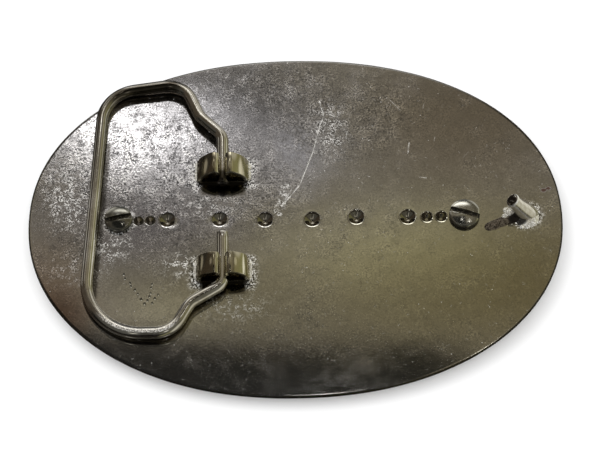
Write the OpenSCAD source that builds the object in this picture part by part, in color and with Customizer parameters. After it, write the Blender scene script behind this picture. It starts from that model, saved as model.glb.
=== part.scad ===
// Western belt buckle, lying on its front so that its back is up.
// The oval plate carries two rolled clips, a hook and two screws, and a wire bail swings in the clips.
// X runs along the plate, Y across it and Z out of its back. The front's lowest line is at z = 0.

/* [Plate] */
// Length of the oval plate
plate_len = 88.9; // [84:0.1:96]
// Width of the oval plate
plate_wid = 63.5; // [60:0.1:70]
// Fullness of the outline, where 2 is a true ellipse
plate_fullness = 2.13; // [2.05:0.01:2.3]
// Thickness of the plate
plate_t = 2.4; // [2.2:0.1:3]
// How far the two ends rise above the middle, since the plate is curved to the waist
plate_rise = 1.4; // [0.4:0.1:2]
// Thickness left at the rim
rim_t = 0.5; // [0.3:0.1:0.8]
// Width of the rounded border on the front
border_w = 4; // [3:0.5:6]

/* [Row of drilled dimples] */
// Bore of the dimples with a deep cone
dimple_d = 2.85; // [2.4:0.05:2.9]
// Depth of a dimple's straight wall
dimple_wall = 0.3; // [0.2:0.05:0.5]
// Depth of a dimple at its flat middle
dimple_deep = 0.95; // [0.8:0.05:1.2]

/* [Screws] */
// Diameter of the left screw's head
left_head_d = 4.6; // [4.2:0.1:4.8]
// Diameter of the right screw's head
right_head_d = 5.1; // [4.4:0.1:5.2]
// Height of a screw's head at its middle
head_h = 1.25; // [1.1:0.05:1.6]
// Diameter of a screw's shank
shank_d = 2.9; // [2.2:0.1:3.2]
// Length of a screw's shank
shank_len = 1.5; // [1:0.1:1.6]
// Width of a screw's slot
slot_w = 0.9; // [0.6:0.1:1]

/* [Clips] */
// Width of a clip across the bail's wire
clip_wid = 8.8; // [8.6:0.1:9]
// Length of a clip along the bail's wire
clip_len = 3.8; // [3:0.1:4.2]
// Thickness of the strip that a clip is rolled from
strip_t = 0.75; // [0.7:0.05:0.8]
// Distance between the middles of the two clips
clip_spread = 18.6; // [18:0.1:18.8]

/* [Bail] */
// Diameter of the bail's wire
wire_d = 2; // [1.8:0.1:2.1]
// Distance of the bail's hinge line from the middle of the plate
hinge_x = -12.2; // [-12.4:0.1:-12]
// Clearance under the bail where it lies nearest to the plate
bail_gap = 0.1; // [0.1:0.05:0.2]

/* [Hook] */
// Diameter of the peg
peg_d = 2.4; // [2.2:0.1:2.6]
// Length of the peg, from the plate to its end
peg_len = 4.7; // [4.4:0.1:5.4]
// Lean of the peg away from upright
peg_lean = 37; // [30:1:40]
// Place of the peg's root along the plate
peg_x = 38.6; // [37.6:0.1:38.8]

/* [Hidden] */
$fn = 48;
steel = [0.72, 0.71, 0.69];
plated = [0.55, 0.54, 0.52];
half_len = plate_len / 2;
half_wid = plate_wid / 2;

// plate
outline_steps = 96;
border_steps = 4;
border_from = 30;   // the border leaves the rim already turned in

// dimples, each [place along the plate, place across it, bore]
small_d = 0.66 * dimple_d;    // the pair by the left screw
middle_d = 0.74 * dimple_d;   // the pair by the right screw
dimples = [
    [-26.3, -0.1, small_d], [-24.35, 0, small_d], [-21.5, 0.1, dimple_d],
    [-12.8, 0.15, dimple_d], [-5.2, -0.05, dimple_d], [2.7, -0.15, dimple_d],
    [10.1, 0.1, dimple_d], [18.7, -0.15, dimple_d], [21.9, -0.3, middle_d], [24.3, -0.3, middle_d]
];
dimple_flat = 0.35;   // share of the bore that is flat at the bottom

// screws, each [place along the plate, place across it, turn of the slot]
left_screw = [-29.6, 0, 14];
right_screw = [28.2, -0.2, -19];
dome_h = 0.55;
slot_deep = 0.7;
screw_seat = 0.02;   // clearance under the head
shank_gap = 0.05;    // clearance round the shank and under its end

// clips
clip_mid = -0.45;   // the pair sits a little towards the near side
sink = 0.1;         // the strip is let into the plate's curve, so that its whole foot is soldered
bend_step = 10;

// half of each strip's middle line, each [straight run, radius of the next bend, its degrees]
upper_strip = [
    [clip_wid / 2 - strip_t / 2 - 0.6, 0.6, 116],
    [0.9, 1.9, 7],
    [0, 4.9, 30],
    [0, 0.5, 109],
    [0.6, 0, 0]
];
lower_strip = [   // fuller at its shoulders
    [clip_wid / 2 - strip_t / 2 - 0.6, 0.6, 105],
    [1.1, 1.9, 35],
    [0, 3.7, 29],
    [0, 0.5, 93],
    [0.56, 0, 0]
];

// bail: corners of the wire's middle line, each [distance from the hinge line, place across, bend radius]
wire_r = wire_d / 2;
bail_corners = [
    [0, 5.9, 0], [0, 15.4, 3], [3.9, 19.3, 4], [6.8, 26.1, 4.5], [20.5, 24.1, 6.3],
    [22.5, -21, 9.3], [8.1, -21, 4.5], [5.3, -15.9, 4], [0, -12.7, 2], [0, -3.2, 0]
];
bail_reach = 22.4;   // where the level bail comes nearest to the plate
end_taper = 0.25;
bend_lap = 0.1;
bend_full = 0.02;

// hook
peg_y = -0.2;
peg_turn = 168;   // it leans towards the bail and slightly across
peg_round = 0.35;
peg_below = 1.2;      // the peg goes on down into the plate
root_full = 0.3;      // how much fuller the peg is there, where solder has run up it
plain_from = 2.2;     // distance along the peg from which it is plain
foot_d = 2.1;     // the peg's other end, bent over flat and soldered down
foot_sink = 0.4;
foot_turn = 200;
foot_len = 6.8;
collar_d = 4.2;   // the solder round the peg's root
collar_h = 0.4;
collar_off = [-0.25, -0.5];

// height of the back surface over the front's lowest line, and its slope in degrees
function back_z(x) = plate_t + plate_rise * pow(x / half_len, 2);
function back_slope(x) = atan(2 * plate_rise * x / pow(half_len, 2));

// a point of the full oval, inset by some width and dropped below the back surface by some depth
function power(v) = sign(v) * pow(abs(v), 2 / plate_fullness);
function rim_point(turn, inset, drop) =
    let (x = (half_len - inset) * power(cos(turn)), y = (half_wid - inset) * power(sin(turn)))
    [x, y, back_z(x) - drop];

// levels of the plate's side, each [inset, drop], from the back's edge round the border to the front
plate_levels = concat(
    [[0, 0], [0, rim_t]],
    [for (k = [1 : border_steps])
        let (turn = border_from + (90 - border_from) * k / border_steps)
        [border_w * (cos(border_from) - cos(turn)) / cos(border_from),
         rim_t + (plate_t - rim_t) * (sin(turn) - sin(border_from)) / (1 - sin(border_from))]]
);

// a flat strip across the plate, from one edge of a ring of points to the other
function strip_across(k, n) =
    k == 0 ? [0, 1, n - 1] :
    k == n / 2 - 1 ? [k, k + 1, k + 2] : [k, k + 1, n - k - 1, n - k];
function reversed(v) = [for (i = [len(v) - 1 : -1 : 0]) v[i]];
function on_ring(v, start) = [for (i = v) i + start];

module plate_blank() {
    n = outline_steps;
    last = len(plate_levels) - 1;
    points = [for (level = plate_levels, k = [0 : n - 1]) rim_point(360 * k / n, level[0], level[1])];
    back = [for (k = [0 : n / 2 - 1]) reversed(strip_across(k, n))];
    front = [for (k = [0 : n / 2 - 1]) on_ring(strip_across(k, n), last * n)];
    wall = [for (k = [0 : n - 1]) [k, (k + 1) % n, (k + 1) % n + n, k + n]];
    border = [for (j = [1 : last - 1], k = [0 : n - 1])
        let (a = j * n + k, b = j * n + (k + 1) % n) each [[a, b, a + n], [b, b + n, a + n]]];
    polyhedron(points, concat(back, front, wall, border), convexity = 4);
}

// stands something on the back surface, square to it
module on_back(x, y) {
    translate([x, y, back_z(x)])
        rotate([0, -back_slope(x), 0])
            children();
}

module dimple(bore) {
    flat = bore * dimple_flat;
    translate([0, 0, -dimple_wall])
        cylinder(h = 1, d = bore);
    translate([0, 0, -dimple_deep])
        cylinder(h = dimple_deep - dimple_wall, d1 = flat, d2 = bore);
}

// middle line of the strip, each step [x, z, heading]
function bent(p, r, turn) =
    [p[0] + r * (sin(p[2] + turn) - sin(p[2])), p[1] + r * (cos(p[2]) - cos(p[2] + turn)), p[2] + turn];
function along(p, run) = [p[0] + run * cos(p[2]), p[1] + run * sin(p[2]), p[2]];
function strip_line(steps, p, i = 0) =
    i == len(steps) ? [p] :
    let (q = along(p, steps[i][0]), turn = steps[i][2], cuts = max(1, ceil(turn / bend_step)),
         bend = [for (k = [1 : cuts - 1]) bent(q, steps[i][1], turn * k / cuts)])
    concat(steps[i][0] > 0 ? [p] : [], [q], bend, strip_line(steps, bent(q, steps[i][1], turn), i + 1));

// one side of the strip, half its thickness away from the middle line
function strip_side(line, away) = [for (p = line) [p[0] + away * sin(p[2]), p[1] - away * cos(p[2])]];
function mirrored(v) = [for (p = v) [-p[0], p[1]]];

module clip(half_line) {
    line = strip_line(half_line, [0, strip_t / 2, 0]);
    outer = strip_side(line, strip_t / 2);
    inner = strip_side(line, -strip_t / 2);
    rotate([90, 0, 0])
        linear_extrude(clip_len, center = true)
            polygon(concat(outer, reversed(inner), mirrored(inner), reversed(mirrored(outer))));
}

// stands a clip in its place, with side 1 for the upper one and -1 for the lower
module on_strip(side) {
    translate([hinge_x, clip_mid + side * clip_spread / 2, back_z(hinge_x) - sink])
        children();
}

module hook() {
    on_back(peg_x, peg_y) {
        rotate([0, 0, peg_turn])
            rotate([0, peg_lean, 0])
                peg();
        translate(collar_off)
            cylinder(h = collar_h, d1 = collar_d, d2 = peg_d + 0.2);
        rotate([0, 0, foot_turn])
            translate([0, 0, -foot_sink]) {
                rotate([0, 90, 0])
                    cylinder(h = foot_len, d = foot_d);
                translate([foot_len, 0, 0])
                    sphere(d = foot_d);
            }
    }
}

module peg() {
    translate([0, 0, -peg_below])
        cylinder(h = peg_below + plain_from, d1 = peg_d + root_full, d2 = peg_d);
    translate([0, 0, plain_from])
        cylinder(h = peg_len - peg_round - plain_from, d = peg_d);
    translate([0, 0, peg_len - peg_round])
        rotate_extrude()
            intersection() {
                union() {
                    square([peg_d / 2 - peg_round, peg_round]);
                    translate([peg_d / 2 - peg_round, 0])
                        circle(peg_round);
                }
                square(peg_d);
            }
}

module back_plate() {
    color(plated)
        union() {
            difference() {
                plate_blank();
                for (d = dimples)
                    on_back(d[0], d[1])
                        dimple(d[2]);
                for (s = [left_screw, right_screw])
                    on_back(s[0], s[1])
                        translate([0, 0, -shank_len - shank_gap])
                            cylinder(h = shank_len + 1, d = shank_d + 2 * shank_gap);
            }
            on_strip(1)
                clip(upper_strip);
            on_strip(-1)
                clip(lower_strip);
            hook();
        }
}

// a length of wire in the bail's own plane, with its far end broken where that is a free end
module straight_wire(from, to, free_end = false) {
    step = to - from;
    run = norm(step) - (free_end ? end_taper : 0);
    translate([from[0], from[1], 0])
        rotate([0, 0, atan2(step[1], step[0])])
            rotate([0, 90, 0]) {
                cylinder(h = run, r = wire_r);
                if (free_end)
                    translate([0, 0, run])
                        cylinder(h = end_taper, r1 = wire_r, r2 = wire_r - end_taper);
            }
}

// a bend is a hair fuller than the straight wire and takes in a short length of it at both ends
module bent_wire(from, heading, radius, turn) {
    side = sign(turn);
    translate([from[0] - side * radius * sin(heading), from[1] + side * radius * cos(heading), 0])
        rotate([0, 0, side > 0 ? heading - 90 : heading + 90 + turn])
            rotate_extrude(angle = abs(turn))
                translate([radius, 0])
                    circle(wire_r + bend_full);
}

module bail() {
    c = [for (p = bail_corners) [-p[0], p[1]]];
    last = len(c) - 1;
    heading = [for (i = [0 : last - 1]) atan2(c[i + 1][1] - c[i][1], c[i + 1][0] - c[i][0])];
    way = [for (h = heading) [cos(h), sin(h)]];
    turn = [for (i = [0 : last])
        i == 0 || i == last ? 0 : (heading[i] - heading[i - 1] + 540) % 360 - 180];
    trim = [for (i = [0 : last]) bail_corners[i][2] * tan(abs(turn[i]) / 2)];
    far_z = back_z(hinge_x - bail_reach) + wire_r + bail_gap;
    color(steel)
        translate([hinge_x, 0, far_z])
            union() {
                straight_wire(c[1] - (trim[1] - bend_lap) * way[0], c[0], true);
                for (i = [1 : last - 1])
                    bent_wire(c[i] - trim[i] * way[i - 1], heading[i - 1], bail_corners[i][2], turn[i]);
                for (i = [1 : last - 2])
                    straight_wire(c[i] + (trim[i] - bend_lap) * way[i],
                                  c[i + 1] - (trim[i + 1] - bend_lap) * way[i]);
                straight_wire(c[last - 1] + (trim[last - 1] - bend_lap) * way[last - 1], c[last], true);
            }
}

module screw(place, head_d) {
    dome_r = (pow(head_d / 2, 2) + pow(dome_h, 2)) / (2 * dome_h);
    color(steel)
        on_back(place[0], place[1])
            translate([0, 0, screw_seat]) {
                difference() {
                    intersection() {
                        cylinder(h = head_h, d = head_d);
                        translate([0, 0, head_h - dome_r])
                            sphere(dome_r, $fn = 96);
                    }
                    rotate([0, 0, place[2]])
                        translate([-head_d, -slot_w / 2, head_h - slot_deep])
                            cube([2 * head_d, slot_w, head_h]);
                }
                translate([0, 0, -shank_len])
                    cylinder(h = shank_len, d = shank_d);
            }
}

module screw_left() {
    screw(left_screw, left_head_d);
}

module screw_right() {
    screw(right_screw, right_head_d);
}

back_plate();
bail();
screw_left();
screw_right();
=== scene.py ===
import math
import random

import bmesh
import bpy
from mathutils import Matrix, Vector, noise
from mathutils.geometry import delaunay_2d_cdt


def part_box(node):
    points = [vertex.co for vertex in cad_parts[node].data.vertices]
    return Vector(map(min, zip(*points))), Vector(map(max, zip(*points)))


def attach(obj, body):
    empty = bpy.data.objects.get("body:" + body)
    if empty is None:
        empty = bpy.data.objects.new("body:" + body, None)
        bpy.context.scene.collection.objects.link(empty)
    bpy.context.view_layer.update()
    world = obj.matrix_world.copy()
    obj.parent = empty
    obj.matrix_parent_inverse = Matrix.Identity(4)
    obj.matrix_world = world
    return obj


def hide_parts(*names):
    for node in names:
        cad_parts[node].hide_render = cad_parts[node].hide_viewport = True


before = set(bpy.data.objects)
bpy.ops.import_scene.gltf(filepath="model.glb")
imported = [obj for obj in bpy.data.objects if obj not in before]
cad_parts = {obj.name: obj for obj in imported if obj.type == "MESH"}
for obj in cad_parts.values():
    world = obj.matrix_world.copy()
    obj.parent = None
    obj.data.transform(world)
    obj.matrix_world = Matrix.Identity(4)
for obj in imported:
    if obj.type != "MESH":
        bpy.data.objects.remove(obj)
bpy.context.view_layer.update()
mm = 0.001
_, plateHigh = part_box("back_plate")
print("frame loaded:", ", ".join(sorted(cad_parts)))


# shader maths: a Field is a socket that takes part in sums, and Paint holds one tree of nodes
class Field:
    def __init__(self, paint, socket):
        self.paint = paint
        self.socket = socket

    def maths(self, kind, *values, clamp=False):
        return self.paint.node("ShaderNodeMath", {"operation": kind, "use_clamp": clamp}, values)

    def __add__(self, other):
        return self.maths("ADD", self, other)

    __radd__ = __add__

    def __sub__(self, other):
        return self.maths("SUBTRACT", self, other)

    def __rsub__(self, other):
        return self.maths("SUBTRACT", other, self)

    def __mul__(self, other):
        return self.maths("MULTIPLY", self, other)

    __rmul__ = __mul__

    def __truediv__(self, other):
        return self.maths("DIVIDE", self, other)

    def __rtruediv__(self, other):
        return self.maths("DIVIDE", other, self)

    def __pow__(self, other):
        return self.maths("POWER", self, other)

    def __rpow__(self, other):
        return self.maths("POWER", other, self)

    def __abs__(self):
        return self.maths("ABSOLUTE", self)

    def lower(self, other):
        return self.maths("MINIMUM", self, other)

    def higher(self, other):
        return self.maths("MAXIMUM", self, other)

    def step(self, low, high, start=0.0, end=1.0):
        # a soft step: start below low, end above high
        settings = {"interpolation_type": "SMOOTHSTEP"}
        return self.paint.node("ShaderNodeMapRange", settings, [self, low, high, start, end])

    def parts(self):
        made = self.paint.node("ShaderNodeSeparateXYZ", {}, [self]).socket.node
        return [Field(self.paint, socket) for socket in made.outputs]


class Paint:
    def __init__(self, owner):
        owner.use_nodes = True
        self.owner = owner
        self.nodes = owner.node_tree.nodes
        self.links = owner.node_tree.links

    def node(self, kind, settings, values, output=0):
        made = self.nodes.new(kind)
        for name, value in settings.items():
            setattr(made, name, value)
        pairs = values.items() if isinstance(values, dict) else enumerate(values)
        for key, value in pairs:
            self.feed(made.inputs[key], value)
        return Field(self, made.outputs[output])

    def feed(self, socket, value):
        if isinstance(value, Field):
            self.links.new(value.socket, socket)
        else:
            socket.default_value = value

    def place(self):
        # where a point lies on the object, in millimetres
        spot = self.node("ShaderNodeTexCoord", {}, {}, "Object")
        return self.vector("SCALE", spot, scale=1 / mm)

    def vector(self, kind, first, second=None, scale=None):
        values = {0: first}
        if second is not None:
            values[1] = second
        if scale is not None:
            values["Scale"] = scale
        made = self.node("ShaderNodeVectorMath", {"operation": kind}, values)
        return Field(self, made.socket.node.outputs[1]) if kind == "DOT_PRODUCT" else made

    def cloud(self, spot, size, detail=2.0, rough=0.5, stretch=None, warp=0.0):
        # noise from 0 to 1 whose lumps are about size across
        if stretch:
            spot = self.vector("MULTIPLY", spot, stretch)
        values = {
            "Vector": spot, "Scale": 1 / size, "Detail": detail,
            "Roughness": rough, "Distortion": warp,
        }
        return self.node("ShaderNodeTexNoise", {"noise_dimensions": "3D"}, values)

    def blend(self, amount, first, second):
        first, second = [(*v, 1) if isinstance(v, tuple) else v for v in (first, second)]
        return self.node("ShaderNodeMix", {"data_type": "RGBA"}, {0: amount, 6: first, 7: second}, 2)

    def cells(self, spot, size, dimensions, output):
        # space shared out between scattered points about size apart
        settings = {"feature": "F1", "voronoi_dimensions": dimensions}
        return self.node("ShaderNodeTexVoronoi", settings, {"Vector": spot, "Scale": 1 / size}, output)

    def spots(self, spot, size, low, high):
        # scattered soft spots, 1 in the middle of each
        return self.cells(spot, size, "3D", "Distance").step(low, high, 1, 0)

    def dashes(self, spot, size, halfWide, halfLong):
        # short dashes of random turn, one in a cell and none in some
        cell = self.cells(spot, size, "2D", "Position")
        chance = self.node("ShaderNodeTexWhiteNoise", {"noise_dimensions": "3D"}, [cell])
        x, y, z = self.vector("SUBTRACT", spot, cell).parts()
        turn = chance * 12
        cosine = turn.maths("COSINE", turn)
        sine = turn.maths("SINE", turn)
        across = abs(x * cosine + y * sine).step(halfWide * 0.5, halfWide * 1.5, 1, 0)
        along = abs(y * cosine - x * sine).step(halfLong * 0.5, halfLong, 1, 0)
        return across * along * chance.step(0.35, 0.36)

    def stroke(self, x, y, ends, width):
        # 1 on the line between two ends, falling to 0 at its width
        (x0, y0), (x1, y1) = ends
        dx, dy = x1 - x0, y1 - y0
        far = dx * dx + dy * dy
        along = x.maths("ADD", (x - x0) * (dx / far), (y - y0) * (dy / far), clamp=True)
        return self.away(x - x0 - along * dx, y - y0 - along * dy).step(width * 0.3, width, 1, 0)

    def away(self, x, y):
        # how far a place lies from (0, 0)
        return (x * x + y * y) ** 0.5

    def blob(self, x, y, spot, size, soft=0.0):
        # 1 at a spot, falling to 0 at the ellipse of the given size
        reach = self.away((x - spot[0]) / size[0], (y - spot[1]) / size[1])
        return reach.step(soft, 1, 1, 0)

    def slab(self, x, y, spot, size, soft):
        # 1 inside a rectangle with soft sides
        across = (abs(x - spot[0]) - size[0]).step(-soft, soft, 1, 0)
        return across * (abs(y - spot[1]) - size[1]).step(-soft, soft, 1, 0)

    def bump(self, height, distance):
        return self.node("ShaderNodeBump", {}, {"Distance": distance * mm, "Height": height})

    def surface(self, shader):
        self.links.new(shader.socket, self.nodes["Material Output"].inputs["Surface"])
        return self.owner

    def principled(self, **values):
        shader = self.nodes["Principled BSDF"]
        for name, value in values.items():
            socket = next(s for s in shader.inputs if s.name.replace(" ", "").lower() == name.lower())
            self.feed(socket, (*value, 1) if isinstance(value, tuple) else value)
        return self.owner


def newPaint(name):
    return Paint(bpy.data.materials.new(name))


# shapes
def makePiece(name, points, faces, finish, body, sharp):
    # the points come in millimetres, and edges stay crisp from the angle sharp, in degrees
    mesh = bpy.data.meshes.new(name)
    mesh.from_pydata([Vector(p) * mm for p in points], [], faces)
    mesh.validate()
    work = bmesh.new()
    work.from_mesh(mesh)
    bmesh.ops.recalc_face_normals(work, faces=work.faces)
    work.to_mesh(mesh)
    work.free()
    mesh.shade_smooth()
    mesh.set_sharp_from_angle(angle=math.radians(sharp))
    mesh.materials.append(finish)
    piece = bpy.data.objects.new(name, mesh)
    bpy.context.scene.collection.objects.link(piece)
    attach(piece, body)
    return piece


def seatOnPlate():
    # what is soldered to the plate stands in for a share of the same solid
    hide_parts("back_plate")


def joinRings(first, second):
    # quads between two rings with as many points
    return list(zip(first, first[1:] + first[:1], second[1:] + second[:1], second))


def ringFaces(start, count, rings):
    # quads between rings of points that follow one another
    faces = []
    for j in range(rings - 1):
        ring = [start + j * count + k for k in range(count)]
        faces += joinRings(ring, [k + count for k in ring])
    return faces


def sweep(path, section, endSteps):
    # carries a flat section along a path of (point, forward, sideways), with rounded ends
    points = []
    first, last = path[0], path[-1]
    stations = [(p, f, s, 1.0) for p, f, s in path]
    for back, share in endSteps:
        stations.insert(0, (first[0] - first[1] * back, first[1], first[2], share))
        stations.append((last[0] + last[1] * back, last[1], last[2], share))
    for spot, forward, sideways, share in stations:
        upward = forward.cross(sideways)
        points += [spot + (sideways * a + upward * b) * share for a, b in section]
    count = len(section)
    faces = ringFaces(0, count, len(stations))
    faces.append(tuple(range(count)))
    faces.append(tuple(range(len(points) - count, len(points))))
    return points, faces


def circle(radius, steps):
    turns = [2 * math.pi * k / steps for k in range(steps)]
    return [(radius * math.cos(t), radius * math.sin(t)) for t in turns]


# the plate: an oval bent a little about Y, with its back up
plate = {
    "fullness": 2.13,     # 2 would be a plain ellipse
    "thick": 2.4,
    "rise": 1.4,          # how much the ends stand higher than the middle
    "rim": 0.5,           # the upright part of its side
    "border": 4.0,        # how far the front's round border reaches in
    "chamfer": 0.13,
    "wave": 0.012,        # how far the back wanders from true
    "wobble": 0.03,       # how far the edge wanders
    "steps": 360,
    "innerRing": 0.45,    # a second ring of points inside the edge keeps the back flat up to it
    "lattice": 1.1,       # distance between the points of the back
    "clear": 0.25,        # the least room between such a point and a hole
}
halfLen = plateHigh.x / mm
halfWid = plateHigh.y / mm


def backHeight(x):
    return plate["thick"] + plate["rise"] * (x / halfLen) ** 2


def backTurn(x, y):
    # stands a thing on the back, square to it
    lean = math.atan(2 * plate["rise"] * x / halfLen ** 2)
    return Matrix.Translation((x, y, backHeight(x))) @ Matrix.Rotation(-lean, 4, "Y")


def power(v):
    # bends a cosine or a sine to the oval's fullness
    return math.copysign(abs(v) ** (2 / plate["fullness"]), v)


def rimPoint(turn, inset):
    # a point of the outline, drawn in by some width
    return (halfLen - inset) * power(math.cos(turn)), (halfWid - inset) * power(math.sin(turn))


def ovalReach(x, y, inset=0):
    # less than 1 inside the outline, for numbers and shader fields alike
    across = abs(y / (halfWid - inset)) ** plate["fullness"]
    return abs(x / (halfLen - inset)) ** plate["fullness"] + across


def backWave(x, y):
    return plate["wave"] * noise.noise(Vector((x / 9, y / 9, 3.1)))


# drilled dimples in three bores, and the screws in their holes
dimples = {
    "small": 1.88,
    "middle": 2.11,
    "large": 2.85,
    "lip": 0.05,          # how high the raised lip stands
    "deep": 0.95,
    "span": (27.5, 1.9),  # half the length and width of the field they lie in
    # each (place along, place across, bore)
    "row": [
        (-26.3, -0.1, "small"), (-24.35, 0, "small"), (-21.5, 0.1, "large"), (-12.8, 0.15, "large"),
        (-5.2, -0.05, "large"), (2.7, -0.15, "large"), (10.1, 0.1, "large"), (18.7, -0.15, "large"),
        (21.9, -0.3, "middle"), (24.3, -0.3, "middle"),
    ],
}
screws = {
    "screw_left": {"x": -29.6, "y": 0.0, "head": 4.6, "slotTurn": 14},
    "screw_right": {"x": 28.2, "y": -0.2, "head": 5.1, "slotTurn": -19},
}
screwShape = {
    "height": 1.25,
    "dome": 0.32,         # how much of the height is domed
    "slot": 0.9,
    "slotDeep": 0.7,
    "shank": 2.9,
    "shankLen": 1.5,
    "seat": 0.02,         # the hair's breadth under the head
    "dirtTop": 3.78,      # height over the floor up to which the heads carry painted shade
}

# small punched pits in two rows that meet, each row (from, to, count)
pits = {
    "rows": [
        ((-28.4, -10.0), (-25.3, -14.6), 10),
        ((-23.6, -11.7), (-24.7, -15.3), 6),
        ((-22.9, -13.7), (-23.5, -15.0), 3),
    ],
    "stray": 0.2,         # how far each may lie off its row
    "size": (0.14, 0.2),
    "apart": 0.25,
    "seed": 12,
}


def dimpleTurning(bore):
    # the dimple's profile, each (radius, height over the back)
    r = bore / 2
    wide = 1 if bore > dimples["small"] else 0.25     # the small ones stand too close for a full lip
    lip = dimples["lip"] * wide
    deep = dimples["deep"]
    edge = [(r + 0.02 + 0.13 * wide, 0), (r + 0.1 * wide, 0), (r + 0.08 * wide, lip * 0.7)]
    edge += [(r + 0.05 * wide, lip), (r + 0.03 * wide, lip - 0.004 * wide)]
    bevel = 0.08 + 0.04 * wide
    inner = r - bevel
    wall = [(inner, lip - 0.18 * bevel - 0.006), (inner - 0.02, -0.05)]
    wall += [(inner - 0.03, -0.14), (inner - 0.04, -0.3)]
    cone = [(r * 0.78, -0.42), (r * 0.55, -0.66), (r * 0.36, -0.86), (r * 0.25, -deep), (0.02, -deep)]
    return edge + wall + cone


def holeTurning(bore):
    # a screw's blind hole, a little deeper than its shank
    r = bore / 2
    bottom = -screwShape["shankLen"] - 0.05
    return [(r + 0.4, 0), (r + 0.05, 0), (r, -0.05), (r, bottom), (0.02, bottom)]


def pitTurning(size):
    # a punched pit with the metal thrown up round it
    rim = [(size + 0.1, 0), (size + 0.05, 0.03), (size, 0.02)]
    return rim + [(size * 0.8, -0.06), (size * 0.4, -0.16), (size * 0.1, -0.2)]


def pitPlaces():
    pick = random.Random(pits["seed"])
    found = []
    for start, end, count in pits["rows"]:
        for k in range(count):
            stray = [pits["stray"] * pick.uniform(-1, 1) for _ in range(2)]
            x, y = [a + (b - a) * k / (count - 1) + s for a, b, s in zip(start, end, stray)]
            size = pick.uniform(*pits["size"])
            if all(math.hypot(x - a, y - b) > size + c + pits["apart"] for a, b, c in found):
                found.append((x, y, size))
    return found


def plateRecesses():
    # all that is sunk in the back, each (place along, place across, profile, points round)
    recesses = [(x, y, dimpleTurning(dimples[size]), 48) for x, y, size in dimples["row"]]
    recesses += [(s["x"], s["y"], holeTurning(screwShape["shank"] + 0.1), 32) for s in screws.values()]
    recesses += [(x, y, pitTurning(size), 9) for x, y, size in pitPlaces()]
    return recesses


def latticePoints(recesses):
    # points spread evenly over the back, clear of the recesses
    gap = plate["lattice"]
    rowGap = gap * 0.866          # each row is set half a step aside, so the rows stand closer
    rows, columns = int(halfWid / rowGap), int(halfLen / gap)
    found = []
    for j in range(-rows, rows + 1):
        for i in range(-columns, columns + 1):
            x, y = (i + 0.5 * (j % 2)) * gap, j * rowGap
            clear = all(math.hypot(x - a, y - b) > t[0][0] + plate["clear"] for a, b, t, n in recesses)
            if clear and ovalReach(x, y, 1) < 1:
                found.append(Vector((x, y)))
    return found


def sinkRecess(points, faces, start, recess):
    # goes down from the recess's first ring, which is already there at the level of the back
    x, y, turning, count = recess
    stand, lift = backTurn(x, y), backWave(x, y)
    ring = [start + k for k in range(count)]
    for radius, height in turning[1:]:
        fresh = [len(points) + k for k in range(count)]
        points += [tuple(stand @ Vector((a, b, height + lift))) for a, b in circle(radius, count)]
        faces += joinRings(ring, fresh)
        ring = fresh
    faces.append(tuple(ring))


def rimLoop(inset):
    steps = plate["steps"]
    return [rimPoint(2 * math.pi * k / steps, inset) for k in range(steps)]


def platePoints():
    # the back: loops of points round its rim and each recess, a lattice between them, and the recesses
    recesses = plateRecesses()
    loops = [rimLoop(plate["chamfer"]), rimLoop(plate["innerRing"])]
    loops += [[(x + a, y + b) for a, b in circle(turning[0][0], n)] for x, y, turning, n in recesses]
    flat, edges = [], []
    for loop in loops:
        start, count = len(flat), len(loop)
        edges += [(start + k, start + (k + 1) % count) for k in range(count)]
        flat += [Vector(p) for p in loop]
    flat += latticePoints(recesses)
    spots, _, filled, _, _, _ = delaunay_2d_cdt(flat, edges, [], 0, 1e-6)
    faces = []
    for face in filled:
        middle = sum((spots[i] for i in face), Vector((0, 0))) / len(face)
        if all((middle - Vector((a, b))).length > t[0][0] * 0.98 for a, b, t, n in recesses):
            faces.append(tuple(face))
    points = [(p.x, p.y, backHeight(p.x) + backWave(p.x, p.y)) for p in spots]
    start = 2 * plate["steps"]
    for recess in recesses:
        sinkRecess(points, faces, start, recess)
        start += recess[3]
    return points, faces


def plateLevels():
    # the plate's side from the back's chamfer round the border to the front, each (inset, drop)
    levels = [(0.04, 0.03), (0, 0.12), (0, plate["rim"])]
    first, last, steps = math.radians(30), math.radians(90), 8
    near, high = math.cos(first), math.sin(first)
    for k in range(1, steps + 1):
        turn = first + (last - first) * k / steps
        inset = plate["border"] * (near - math.cos(turn)) / near
        drop = plate["rim"] + (plate["thick"] - plate["rim"]) * (math.sin(turn) - high) / (1 - high)
        levels.append((inset, drop))
    levels += [(plate["border"] + extra, plate["thick"]) for extra in (3, 8, 14, 20, 25)]
    return levels


def makePlate(finish):
    points, faces = platePoints()
    steps = plate["steps"]
    ring = list(range(steps))
    for inset, drop in plateLevels():
        fresh = [len(points) + k for k in range(steps)]
        points += [(x, y, max(0, backHeight(x) - drop)) for x, y in rimLoop(inset)]
        faces += joinRings(ring, fresh)
        ring = fresh
    faces.append(tuple(ring))
    piece = makePiece("plate_body", points, faces, finish, "plate", 30)
    roughenEdge(piece)
    seatOnPlate()


def roughenEdge(piece):
    # the cast edge isn't quite true: it is drawn in by a hair here and there
    for v in piece.data.vertices:
        x, y = v.co.x / mm, v.co.y / mm
        if ovalReach(x, y) > 0.97:
            dent = 0.5 + 0.5 * noise.noise(Vector((x / 2.3, y / 2.3, 7.7)))
            chip = max(0, noise.noise(Vector((x / 0.9, y / 0.9, 1.3))) - 0.45)
            v.co.xy *= 1 - plate["wobble"] * (dent + 2 * chip) / halfLen


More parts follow.
